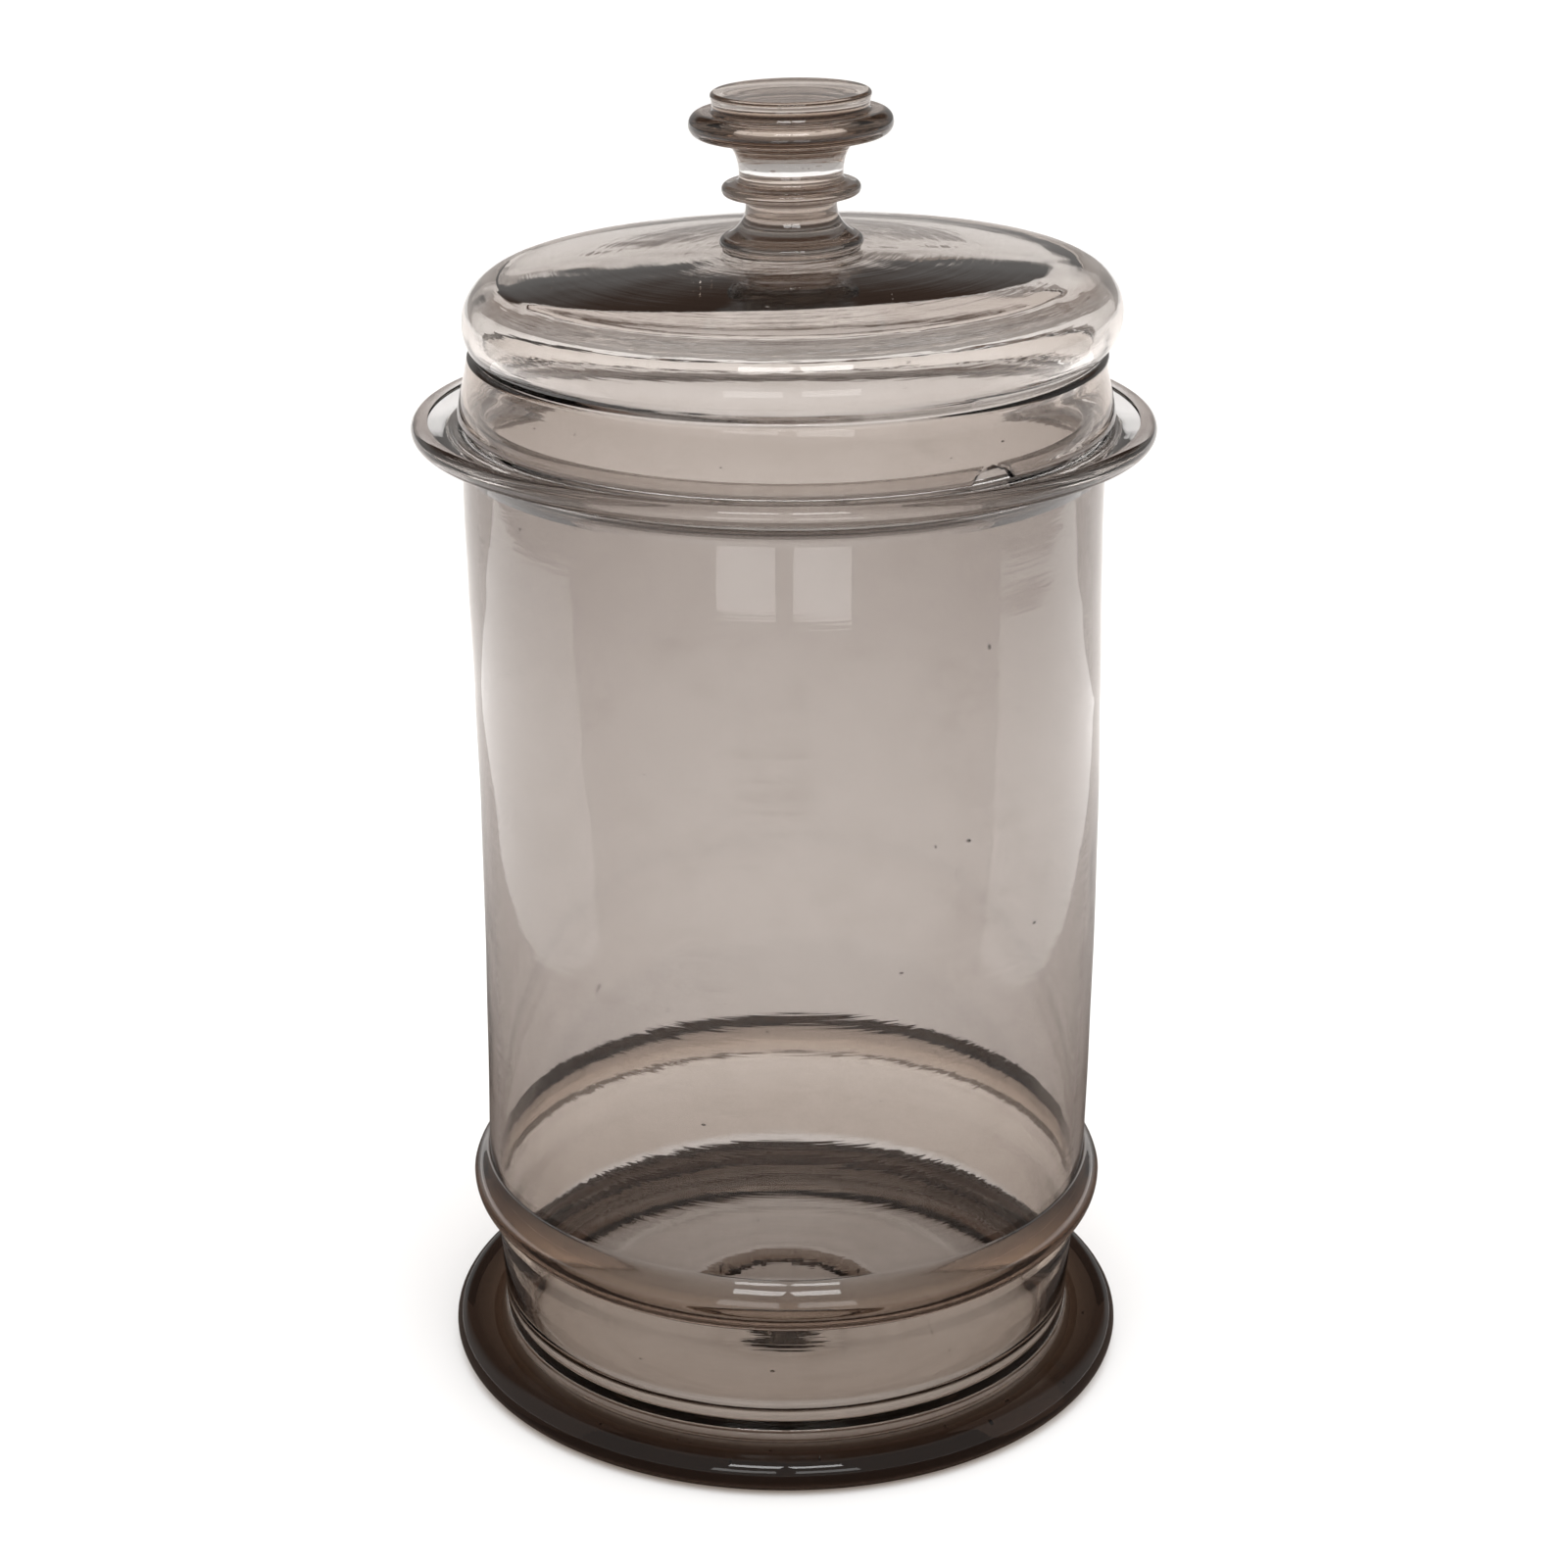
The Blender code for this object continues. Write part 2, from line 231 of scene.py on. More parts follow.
def ring_section():
    """The trailed ring: a bead with short fillets where it melts into the wall."""
    top, low = RING_TOP + 1.0, RING_LOW - 1.0
    inside_top, inside_low = body_radius(top) + HAIR, cup_radius(low) + HAIR
    section = Section((inside_top, top))
    section.to(*bezier((inside_top, top), (inside_top + 0.2, RING_TOP - 1.6),
                       (RING_R - 1.6, RING_Z + 7.0), (RING_R, RING_Z + 0.6), 14))
    section.to(*bezier((RING_R, RING_Z + 0.6), (RING_R, RING_Z - 6.0),
                       (inside_low + 1.2, RING_LOW + 1.8), (inside_low, low), 14))
    heights = np.linspace(low, top, 10)[1:-1]
    section.to(*[(wall_radius(z) + HAIR, z) for z in heights], fused=True)
    return section.close(fused=True).thick_edge(RING_R - 4.5, RING_R - 1.5)


def wall_radius(z):
    return body_radius(z) if z >= RING_Z else cup_radius(z)


def base_wall_section():
    seam, low = RING_Z - HAIR / 2, FLOOR_SEAM + HAIR
    ring_low = RING_LOW - 1.0
    section = Section((cup_radius(seam) - wall_at(seam), seam))
    section.to((cup_radius(seam), seam), fused=True)
    section.to(*[(cup_radius(z), z) for z in np.linspace(seam, ring_low, 6)[1:]], fused=True)
    section.to(*[(cup_radius(z), z) for z in np.linspace(ring_low, low, 18)[1:]])
    section.to((cup_radius(low) - WALL, low), fused=True)
    thin = WALL - wall_at(seam)
    heights = np.linspace(low, seam, 20)[1:-1]
    section.to(*[(cup_radius(z) - WALL + thin * (z - low) / (seam - low), z) for z in heights])
    return section.close()


def floor_section():
    """The floor with its thick rounded corner, a little uneven from the tools."""
    seam = FLOOR_SEAM
    top = FLOOR_Z + FLOOR_THICK
    foot_top = FOOT_TOP + 0.8
    edge = FLOOR_Z + 3.0
    corner = (cup_radius(seam) - WALL - FLOOR_FILLET, seam)
    section = Section(*floor_line(0.0, corner[0], top, 40, 0.12))
    section.to(*arc(corner, (FLOOR_FILLET, seam - top), -90, 0, 20)[1:])
    section.to((cup_radius(seam), seam), fused=True)
    section.to(*[(cup_radius(z), z) for z in np.linspace(seam, foot_top, 6)[1:]])
    section.to((CUP_R, FOOT_TOP), (CUP_R, edge), fused=True)
    section.to(*arc((CUP_R - 3.0, edge), (3.0, 3.0), 0, -90, 6)[1:], fused=FOOT_WELD)
    section.to(*reversed(floor_line(PONTIL_R, CUP_R - 4.0, FLOOR_Z, 26, 0.08)))
    section.to(*reversed(floor_line(0.0, PONTIL_R - 0.01, FLOOR_Z, 8, 0.0)), fused=True)
    return section


def kick_at(r):
    """How far the floor is pushed up at a radius."""
    return FLOOR_KICK * max(1 - (r / KICK_R) ** 2, 0.0)


def floor_line(start, end, height, steps, ripple):
    """The floor from one radius to a larger one: pushed up in the middle, with faint tooling rings."""
    points = []
    for i in range(1, steps + 1):
        r = start + (end - start) * i / steps
        points.append((r, height + kick_at(r) + ripple * math.sin(r / 2.1) * math.sin(r / 9.0)))
    return points if start else [(0.0, height + FLOOR_KICK), *points]


def body_section():
    seam = RING_Z + HAIR / 2
    ring_top = RING_TOP + 1.0
    lip = MOUTH_WALL / 2
    collar_low = BODY_TOP - 2.0
    neck_top = COLLAR_TOP
    section = Section((MOUTH_R - MOUTH_WALL, MOUTH_Z - lip))
    section.to(*arc((MOUTH_R - lip, MOUTH_Z - lip), (lip, lip), 180, 0, 12)[1:])
    section.to(*between((MOUTH_R, MOUTH_Z - lip), (MOUTH_R, neck_top), 3))
    section.to((MOUTH_R, BODY_TOP + SHOULDER), fused=True)
    turn = bezier((MOUTH_R, BODY_TOP + SHOULDER), (MOUTH_R, BODY_TOP + SHOULDER / 2),
                  (BODY_HIGH_R, BODY_TOP + SHOULDER / 2), (BODY_HIGH_R, BODY_TOP), 10)
    section.to(*turn, (BODY_HIGH_R, collar_low), fused=True)
    section.to(*[(body_radius(z), z) for z in np.linspace(collar_low, ring_top, 90)[1:]])
    section.to(*[(body_radius(z), z) for z in np.linspace(ring_top, seam, 6)[1:]], fused=True)
    section.to((body_radius(seam) - wall_at(seam), seam), fused=True)
    section.to(*[(body_radius(z) - wall_at(z), z) for z in np.linspace(seam, BODY_TOP - 1.5, 96)[1:]])
    inside = BODY_HIGH_R - wall_at(BODY_TOP)
    inner_turn = bezier((inside, BODY_TOP - 1.5), (inside, BODY_TOP + 2.0),
                        (MOUTH_R - MOUTH_WALL, BODY_TOP + 2.0),
                        (MOUTH_R - MOUTH_WALL, BODY_TOP + 6.0), 10)
    section.to(*inner_turn)
    return section.close()


def collar_section():
    """The shelf under the lid, slightly dished, with a flared underside."""
    edge = COLLAR_EDGE
    reach = math.asin(min((edge - BEAD_R) / -BEAD, 1.0))
    half = BEAD * math.cos(reach)
    top, under = BEAD_Z + half * 0.78, BEAD_Z - half
    inside = MOUTH_R + HAIR
    wall = BODY_HIGH_R + HAIR
    section = Section((inside, COLLAR_TOP))
    section.to(*bezier((inside, COLLAR_TOP), (inside + 0.7, COLLAR_TOP - 0.1),
                       (edge - 6.0, COLLAR_TOP + 0.1), (edge, top), 14))
    section.to((edge, under), fused=True)
    section.to(*bezier((edge, under), (edge - 9.0, under - 0.4),
                       (wall + 0.5, under - 1.0), (wall, BODY_TOP - 2.0), 18))
    section.to((wall, BODY_TOP), fused=COLLAR_WELD)
    section.to(*bezier((wall, BODY_TOP), (wall, BODY_TOP + SHOULDER / 2 + HAIR),
                       (inside, BODY_TOP + SHOULDER / 2 + HAIR),
                       (inside, BODY_TOP + SHOULDER + HAIR), 10), fused=COLLAR_WELD)
    return section.close(fused=COLLAR_WELD)


def bead_section():
    edge = COLLAR_EDGE + HAIR
    reach = math.degrees(math.acos((edge - BEAD_R) / BEAD))
    section = Section(*arc((BEAD_R, BEAD_Z), (BEAD, BEAD), reach, -reach, 32))
    return section.close(fused=True)


def skirt_section():
    seam = SKIRT_TOP - HAIR / 2
    edge = SKIRT_WALL / 2
    low = (SKIRT_LOW_R - edge, SKIRT_FOOT + edge)
    section = Section((SKIRT_HIGH_R, seam))
    section.to(*bezier((SKIRT_HIGH_R, seam), (SKIRT_HIGH_R - 0.2, seam - 6.0),
                       (SKIRT_LOW_R - 0.6, low[1] + 6.0), (SKIRT_LOW_R, low[1]), 20))
    section.to(*arc(low, (edge, edge), 0, -180, 12)[1:])
    start = section.points[-1]
    section.to(*bezier(start, (start[0], start[1] + 6.0), (SKIRT_HIGH_R - SKIRT_WALL - 0.2, seam - 6.0),
                       (SKIRT_HIGH_R - SKIRT_WALL, seam), 20))
    return section.close(fused=True)


def dome_arc(offset, steps):
    radius = BULGE - offset
    return arc((BULGE_R, BULGE_Z), (radius, radius), 90 - CROWN_SLOPE, -THROAT_SLOPE, steps)


def crown_height(edge, r):
    """The height of the crown's curve through an edge point, at any radius inside it."""
    radius = edge[0] / math.sin(math.radians(CROWN_SLOPE))
    return edge[1] - radius * math.cos(math.radians(CROWN_SLOPE)) + np.sqrt(radius**2 - r**2)


def crown_line(r):
    """The crown's outer height at any radius up to its edge."""
    return crown_height(dome_arc(0.0, 2)[0], r)


def dome_section():
    seam = SKIRT_TOP + HAIR / 2
    outer, inner = dome_arc(0.0, 40), dome_arc(WALL, 34)
    pad = PAD_R - 1.0
    section = Section((0.0, crown_height(outer[0], 0.0)))
    section.to(*[(r, crown_height(outer[0], r)) for r in np.linspace(0, pad, 8)[1:]], fused=True)
    section.to(*[(r, crown_height(outer[0], r)) for r in np.linspace(pad, outer[0][0], 34)[1:-1]])
    section.to(*outer)
    throat = outer[-1]
    section.to(*bezier(throat, (throat[0] - 0.7, throat[1] - 0.7), (SKIRT_HIGH_R - 0.3, seam + 1.0),
                       (SKIRT_HIGH_R, seam), 8))
    section.to((SKIRT_HIGH_R - SKIRT_WALL, seam), fused=True)
    section.to(*reversed(inner))
    section.to(*[(r, crown_height(inner[0], r)) for r in np.linspace(inner[0][0], 0.0, 56)[1:]])
    return section


def crown_gather(x, y):
    """How much thicker the crown is than the rest of the dome: a slightly oval gather round the knob."""
    reach = np.hypot((x + GATHER_SHIFT) * GATHER_OVAL, y)
    share = np.clip((GATHER_START - reach) / (GATHER_START - GATHER_END), 0, 1)
    return CROWN_GATHER * (1 - (1 - share) ** 2.4)


def pad_section():
    top = KNOB_SEAMS[1] - HAIR / 2
    under = crown_line(PAD_R - 1.0) + HAIR
    section = Section((0.0, top))
    section.to((NECK_R, top), fused=True)
    shoulder = (PAD_R - 2.0, under + 4.6)
    section.to(*bezier((NECK_R, top), (NECK_R - 0.6, top - 5.5), (PAD_R - 5.0, under + 5.6), shoulder, 16))
    section.to(*arc((PAD_R - 2.2, under + 2.6), (2.2, 2.1), 80, -50, 12))
    section.to((PAD_R - 1.0, under + 0.4))
    seat = [(r, crown_line(r) + HAIR) for r in np.linspace(PAD_R - 1.0, 0, 8)]
    section.to(*seat, fused=PAD_WELD)
    return section


def knob_collar_section():
    under, top = KNOB_SEAMS[1] + HAIR / 2, KNOB_SEAMS[2] - HAIR / 2
    edge = (COLLAR_R - 2.0, under + 4.3)
    section = Section((0.0, top))
    section.to((WAIST_NECK_R, top), fused=True)
    section.to(*bezier((WAIST_NECK_R, top), (WAIST_NECK_R + 0.4, top - 1.6),
                       (edge[0] - 3.0, edge[1] + 2.2), (edge[0], edge[1] + 2.0), 8))
    section.to(*arc(edge, (2.0, 2.0), 90, -90, 16)[1:])
    section.to(*bezier((edge[0], edge[1] - 2.0), (edge[0] - 3.0, edge[1] - 2.4),
                       (NECK_R + 0.6, under + 1.2), (NECK_R, under), 8))
    section.to((0.0, under), fused=True)
    return section


def knob_waist_section():
    under, top = KNOB_SEAMS[2] + HAIR / 2, KNOB_SEAMS[3] - HAIR / 2
    flare = (FLARE_R, top)
    section = Section((0.0, top))
    section.to(flare, fused=True)
    section.to(*bezier(flare, (19.5, top - 1.5), (WAIST_NECK_R, top - 6.0), (WAIST_NECK_R, under), 24))
    section.to((0.0, under), fused=True)
    return section


def knob_ring_section():
    under, top = KNOB_SEAMS[3] + HAIR / 2, KNOB_SEAMS[4] - HAIR / 2
    half = (top - under) / 2
    section = Section((0.0, top))
    section.to((BUTTON_R, top), fused=True)
    section.to(*arc((KNOB_RING_R - half, under + half), (half, half), 90, -90, 24))
    section.to((FLARE_R, under))
    section.to((0.0, under), fused=True)
    return section


def knob_button_section():
    under, top = KNOB_SEAMS[4] + HAIR / 2, HEIGHT
    edge = 1.4
    section = Section((0.0, top - 0.5))
    section.to(*bezier((0.0, top - 0.5), (BUTTON_R / 2, top - 0.5), (BUTTON_R - 4.0, top - 0.4),
                       (BUTTON_R - edge, top), 16))
    section.to(*arc((BUTTON_R - edge, top - edge), (edge, edge), 90, 0, 8)[1:])
    section.to(*bezier((BUTTON_R, top - edge), (BUTTON_R - 0.6, top - 3.0),
                       (BUTTON_R - 0.8, under + 1.5), (BUTTON_R, under), 8))
    section.to((0.0, under), fused=True)
    return section


def pontil_section():
    """The broken-off ring that the pontil rod left: a low rough rim round a nearly bare middle."""
    def floor_at(r):
        return FLOOR_Z + kick_at(r) - HAIR

    rim = PONTIL_R - 0.01
    section = Section((0.0, floor_at(0.0)))
    section.to(*[(r, floor_at(r)) for r in np.linspace(0, rim, 8)[1:]], fused=True)
    low = floor_at(rim) - RIM_LOW
    section.to(*bezier((rim, floor_at(rim)), (rim - 1.0, floor_at(rim) - 0.2),
                       (rim - 3.4, low), (rim - 5.5, low), 10))
    section.to(*bezier((rim - 5.5, low), (rim - 8.0, low), (rim - 8.4, low + 1.4),
                       (rim - 12.0, floor_at(rim - 12.0) - 0.15), 8))
    section.to(*[(r, floor_at(r) - 0.15) for r in np.linspace(rim - 12.0, 0.0, 10)[1:]])
    return section.thick_edge(rim - 10.0, rim - 5.0)


# ---------------------------------------------------------------- hand-made shape

def warp_jar(points):
    """Bends true-turned points, in millimetres, the way the blower's hand left them."""
    x, y, z = points.T
    angle = np.arctan2(y, x)
    r = np.hypot(x, y)
    heights = np.array((-20.0, 0.0, 66.0, 120.0, 160.0, 205.0, 250.0, 290.0, 310.0, 345.0, 370.0))
    wander = np.array((-0.4, -0.4, 0.0, 0.7, 1.0, 0.8, 0.0, -0.9, -1.2, -1.0, -1.0))
    shift = smooth_interp(z, heights, wander)
    swell = 0.35 * np.sin(2 * angle + 0.6 + z / 90.0) + 0.18 * np.sin(3 * angle - z / 55.0)
    swell = swell * np.clip((z - 4.0) / 40.0, 0, 1) * np.clip(r / 60.0, 0, 1)
    sag = 0.2 * np.sin(2 * angle - 0.9) * np.clip((z - 200.0) / 120.0, 0, 1)
    on_ring = np.exp(-(((z - RING_Z) / 14.0) ** 2)) * np.clip(r / 80, 0, 1)
    on_collar = np.clip((r - 111.0) / 6.0, 0, 1) * np.clip((z - 320.0) / 10.0, 0, 1)
    sag = sag + 0.45 * np.sin(angle * 2 + 1.1) * on_ring - COLLAR_TILT * y * on_collar
    unit = np.stack((np.cos(angle), np.sin(angle)))
    moved = points.copy()
    moved[:, 0] += shift + swell * unit[0]
    moved[:, 1] += swell * unit[1]
    moved[:, 2] += sag
    return moved


def warp_lid(points):
    """The lid's own unevenness: the dome and knob stand a little askew on the skirt."""
    x, y, z = points.T
    angle = np.arctan2(y, x)
    r = np.hypot(x, y)
    above = np.clip((z - SKIRT_TOP + 4.0) / 12.0, 0, 1)
    above = above * above * (3 - 2 * above)
    swell = 0.4 * np.sin(2 * angle + 2.2) + 0.2 * np.sin(3 * angle + 0.4)
    swell = swell * np.clip(r / 70.0, 0, 1) ** 2
    moved = points.copy()
    lean = math.sin(LID_TILT) * above
    moved[:, 0] += LID_SHIFT + above * DOME_SHIFT + swell * np.cos(angle) - lean * (z - SKIRT_TOP) * 0.3
    moved[:, 1] += swell * np.sin(angle)
    moved[:, 2] += lean * x
    return moved


def warp_pontil(points):
    """Breaks the pontil's rim unevenly."""
    moved = warp_jar(points)
    for i, (x, y, z) in enumerate(points):
        reach = math.hypot(x, y)
        if z < FLOOR_Z + kick_at(reach) - RIM_DEPTH:
            coarse = noise.noise((x * 0.09, y * 0.09, 4.0))
            fine = noise.noise((x * 0.5, y * 0.5, 9.0))
            moved[i, 2] += max(1.1 * coarse + 0.55 * fine + 0.35, -0.1)
            moved[i, :2] *= 1 - (0.05 + 0.05 * coarse + 0.025 * fine)
    return moved


def warp_skirt(points):
    """Takes a small chip out of the skirt's lower edge, in front on the right."""
    x, y, z = points.T
    across = (np.arctan2(y, x) - CHIP_ANGLE) / CHIP_HALF
    ragged = np.array([0.35 * noise.noise((a * 3.0, h * 0.8, 2.0)) for a, h in zip(across, z)])
    near_foot = np.clip(1 - (z - SKIRT_FOOT) / 4.5, 0, 1)
    bite = np.clip(1 - across**2, 0, 1) ** 0.5 * (1 + ragged) * near_foot
    outer = np.hypot(x, y) > SKIRT_LOW_R - SKIRT_WALL / 2
    moved = warp_lid(points)
    moved[:, 2] += CHIP_LIFT * bite
    moved[:, :2] *= (1 - np.where(outer, CHIP_DEPTH, 0.2) * bite / SKIRT_LOW_R)[:, None]
    return moved


def warp_dome(points):
    """Thickens the crown from below, then bends it with the rest of the lid."""
    x, y, z = points.T
    r = np.hypot(x, y)
    under = (r < BULGE_R + 2.0) & (z > BULGE_Z) & (z < crown_line(r) - WALL / 2)
    inside = np.hypot(r - BULGE_R, z - BULGE_Z) < BULGE - WALL / 2
    rise = np.clip((z - BULGE_Z) / (BULGE - WALL), 0, 1)
    shoulder = np.where(inside | under, SHOULDER_GATHER * rise * np.exp(-(((r - 99.0) / 6.0) ** 2)), 0.0)
    moved = points.copy()
    moved[:, 2] -= np.where(under, crown_gather(x, y), 0.0) + shoulder
    return warp_lid(moved)


def smooth_interp(values, knots, heights):
    """Interpolates with the slope easing to nothing at every knot."""
    i = np.clip(np.searchsorted(knots, values) - 1, 0, len(knots) - 2)
    t = np.clip((values - knots[i]) / (knots[i + 1] - knots[i]), 0, 1)
    t = t * t * (3 - 2 * t)
    return heights[i] + (heights[i + 1] - heights[i]) * t


# ---------------------------------------------------------------- seeds in the glass

def seeds(name, count, place_at):
    """Places and half-lengths of a piece's bubbles; place_at gives radius and height from two shares."""
    draw = random.Random(name)
    found = []
    for _ in range(count):
        r, z = place_at(draw.random(), draw.random())
        size = 0.22 + 0.5 * draw.random() ** 3
        found.append((r, z, draw.random() * math.tau, (size, size * (1 + draw.random()), size * 0.8)))
    return found


def cylinder_seed(u, v):
    z = RING_TOP + 6.0 + u * (BODY_TOP - RING_TOP - 12.0)
    return body_radius(z) - wall_at(z) * (0.35 + 0.3 * v), z


def floor_seed(u, v):
    r = 20.0 + 60.0 * math.sqrt(u)
    return r, FLOOR_Z + kick_at(r) + FLOOR_THICK * (0.3 + 0.4 * v)


def foot_seed(u, v):
    return CUP_R + 3.5 + 9.0 * u, FOOT_EDGE * (0.6 + 0.6 * v)


def crown_seed(u, v):
    r = 30.0 + 58.0 * u
    return r, crown_line(r) - WALL * (0.35 + 0.3 * v)


def skirt_seed(u, v):
    return SKIRT_HIGH_R - 0.5 - SKIRT_WALL * (0.35 + 0.3 * v), SKIRT_FOOT + 8.0 + 8.0 * u


def knob_seed(low, high, reach):
    return lambda u, v: (reach * math.sqrt(u), low + (high - low) * (0.2 + 0.6 * v))


SEEDS = {
    "body_cylinder": (46, cylinder_seed),
    "jar_floor": (22, floor_seed),
    "foot_ring": (26, foot_seed),
    "lid_dome": (16, crown_seed),
    "lid_skirt": (10, skirt_seed),
    "knob_waist": (12, knob_seed(KNOB_SEAMS[2], KNOB_SEAMS[3], 14.0)),
    "knob_button": (6, knob_seed(KNOB_SEAMS[4], HEIGHT - 1.0, 20.0)),
    "knob_collar": (5, knob_seed(KNOB_SEAMS[1], KNOB_SEAMS[2], 13.0)),
}


def blow(verts, faces, seed):
    """Adds one bubble: a small closed ellipsoid whose faces look inwards, into its air."""
    r, z, turn, halves = seed
    around, up = 10, 6
    base = len(verts)
    centre = Vector((r * math.cos(turn), r * math.sin(turn), z))
    outwards = Vector((math.cos(turn), math.sin(turn), 0))
    sideways = Vector((-math.sin(turn), math.cos(turn), 0))
    axes = (outwards, sideways, Vector((0, 0, 1)))
    for i in range(1, up):
        tilt = math.pi * i / up
        for j in range(around):
            spin = math.tau * j / around
            local = (math.sin(tilt) * math.cos(spin), math.sin(tilt) * math.sin(spin), math.cos(tilt))
            offset = sum((a * h * s for a, h, s in zip(axes, halves, local)), Vector())
            verts.append(tuple(centre + offset))
    verts.append(tuple(centre + axes[2] * halves[2]))
    verts.append(tuple(centre - axes[2] * halves[2]))
    top, bottom = len(verts) - 2, len(verts) - 1
    for j in range(around):
        k = (j + 1) % around
        faces.append((top, base + k, base + j))
        last = base + (up - 2) * around
        faces.append((bottom, last + j, last + k))
        for i in range(up - 2):
            a, b = base + i * around, base + (i + 1) * around
            faces.append((a + j, a + k, b + k, b + j))


# ---------------------------------------------------------------- turning a section

def turned(name, section, warp, steps=STEPS):
    """A closed mesh turned from a section, warped, with its fused faces marked."""
    count = len(section.points)
    closed = len(section.fused) == count
    rings, verts = [], []
    turns = np.arange(steps) * (math.tau / steps)
    for r, z in section.points:
        if r < 1e-6:
            rings.append([len(verts)])
            verts.append((0.0, 0.0, z))
        else:
            rings.append(list(range(len(verts), len(verts) + steps)))
            verts += [(r * math.cos(t), r * math.sin(t), z) for t in turns]
    faces, fused = [], []
    for i, mark in enumerate(section.fused):
        upper, lower = rings[i], rings[(i + 1) % count]
        for j in range(steps):
            k = (j + 1) % steps
            if len(upper) == 1:
                face = (upper[0], lower[j], lower[k])
            elif len(lower) == 1:
                face = (upper[j], lower[0], upper[k])
            else:
                face = (upper[j], lower[j], lower[k], upper[k])
            faces.append(face)
            fused.append(mark)
    node = name.removesuffix("_glass")
    if node in SEEDS:
        for seed in seeds(node, *SEEDS[node]):
            blow(verts, faces, seed)
        fused += [0.0] * (len(faces) - len(fused))
    mesh = bpy.data.meshes.new(name)
    mesh.from_pydata((warp(np.array(verts, float)) * MM).tolist(), [], faces)
    mesh.attributes.new("fused", "FLOAT", "FACE").data.foreach_set("value", fused)
    if section.edge:
        reach = np.hypot(*np.array(verts, float).T[:2])
        share = np.clip((reach - section.edge[0]) / (section.edge[1] - section.edge[0]), 0, 1)
        mesh.attributes.new("edge", "FLOAT", "POINT").data.foreach_set("value", share)
    mesh.polygons.foreach_set("use_smooth", [True] * len(faces))
    mesh.update()
    piece = bpy.data.objects.new(name, mesh)
    bpy.context.scene.collection.objects.link(piece)
    mesh.set_sharp_from_angle(angle=SHARP_ANGLE)
    return piece


# ---------------------------------------------------------------- materials

class Graph:
    """Short calls for building a material's nodes; an input such as _6 is the socket of that number."""

    def __init__(self, tree):
        self.tree = tree

    def add(self, kind, settings=None, **inputs):
        node = self.tree.nodes.new("ShaderNode" + kind)
        for name, value in (settings or {}).items():
            setattr(node, name, value)
        for name, value in inputs.items():
            socket = int(name[1:]) if name[1:].isdigit() else name.replace("_", " ")
            self.feed(node.inputs[socket], value)
        return node

    def feed(self, socket, value):
        if isinstance(value, bpy.types.NodeSocket):
            self.tree.links.new(value, socket)
        else:
            socket.default_value = value

    def math(self, operation, *values):
        inputs = {f"_{i}": value for i, value in enumerate(values)}
        return self.add("Math", {"operation": operation}, **inputs).outputs[0]

    def mix(self, share, low, high):
        """A colour between two others."""
        return self.add("Mix", {"data_type": "RGBA"}, _0=share, _6=low, _7=high).outputs[2]

    def ramp(self, value, low, high):
        """From 0 below the low value to 1 above the high one."""
        settings = {"interpolation_type": "SMOOTHSTEP", "clamp": True}
        inputs = {"Value": value, "From_Min": low, "From_Max": high}
        return self.add("MapRange", settings, **inputs).outputs[0]


GLASS_IOR = 1.5
RING_RELIEF = 0.000025  # metres
WAVE_RELIEF = 0.00022


def blown_detail(graph, spin):
    """Noise of blown glass, in object space: rings drawn out by the turning, slow waves, haze and grit."""
    place = graph.add("TexCoord").outputs["Object"]
    axes = graph.add("SeparateXYZ", None, Vector=place).outputs
    squares = graph.math("ADD", graph.math("POWER", axes[0], 2.0), graph.math("POWER", axes[1], 2.0))
    reach = graph.math("SQRT", squares)
    drift = graph.math("MULTIPLY", axes[0], spin)
    drawn = graph.add("CombineXYZ", None, X=reach, Y=drift, Z=axes[2]).outputs[0]
    fields = {}
    for name, vector, scale, detail, rough in (
        ("rings", drawn, 320.0, 3.0, 0.6),
        ("waves", place, 22.0, 2.0, 0.5),
        ("haze", place, 34.0, 7.0, 0.68),
        ("grit", place, 900.0, 2.0, 0.6),
    ):
        inputs = {"Vector": vector, "Scale": scale, "Detail": detail, "Roughness": rough}
        fields[name] = graph.add("TexNoise", None, **inputs).outputs["Fac"]
    return fields


